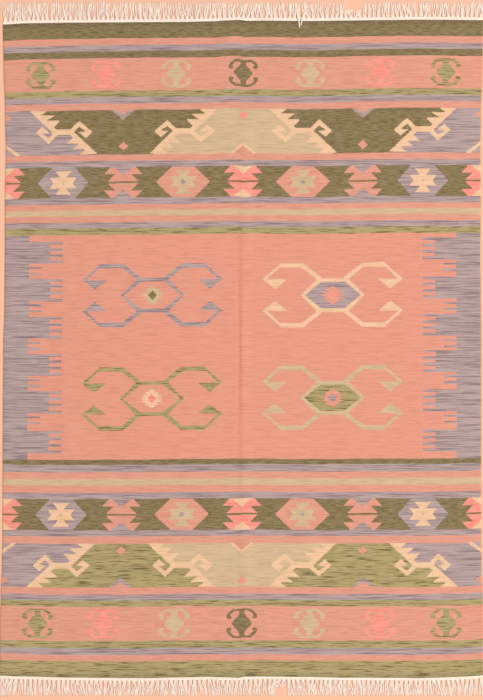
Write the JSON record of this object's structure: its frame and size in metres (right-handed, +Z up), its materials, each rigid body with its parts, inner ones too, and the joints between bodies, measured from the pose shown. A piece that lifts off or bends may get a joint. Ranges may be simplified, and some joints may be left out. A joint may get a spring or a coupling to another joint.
{
  "type": "flat-woven kilim rug with knotted fringe",
  "caption": "Flat-woven wool kilim rug lying open, with patterned bands, an open middle field and a knotted cotton fringe at both ends.",
  "frame": {"origin": "on the floor under the middle of the rug, fringes included", "axes": "+X across the rug, +Y along it towards the end with the dark olive outer band, +Z up"},
  "size_m": [1.546, 2.226, 0.0069],
  "materials": {
    "kilim_wool": "matte flat-woven wool in salmon, olive, lavender grey, sand, cream and coral",
    "fringe_cotton": "matte cream twisted cotton"
  },
  "bodies": {
    "root": {"kilim_cloth": "kilim_wool", "fringe_top": "fringe_cotton", "fringe_bottom": "fringe_cotton"}
  },
  "joints": []
}
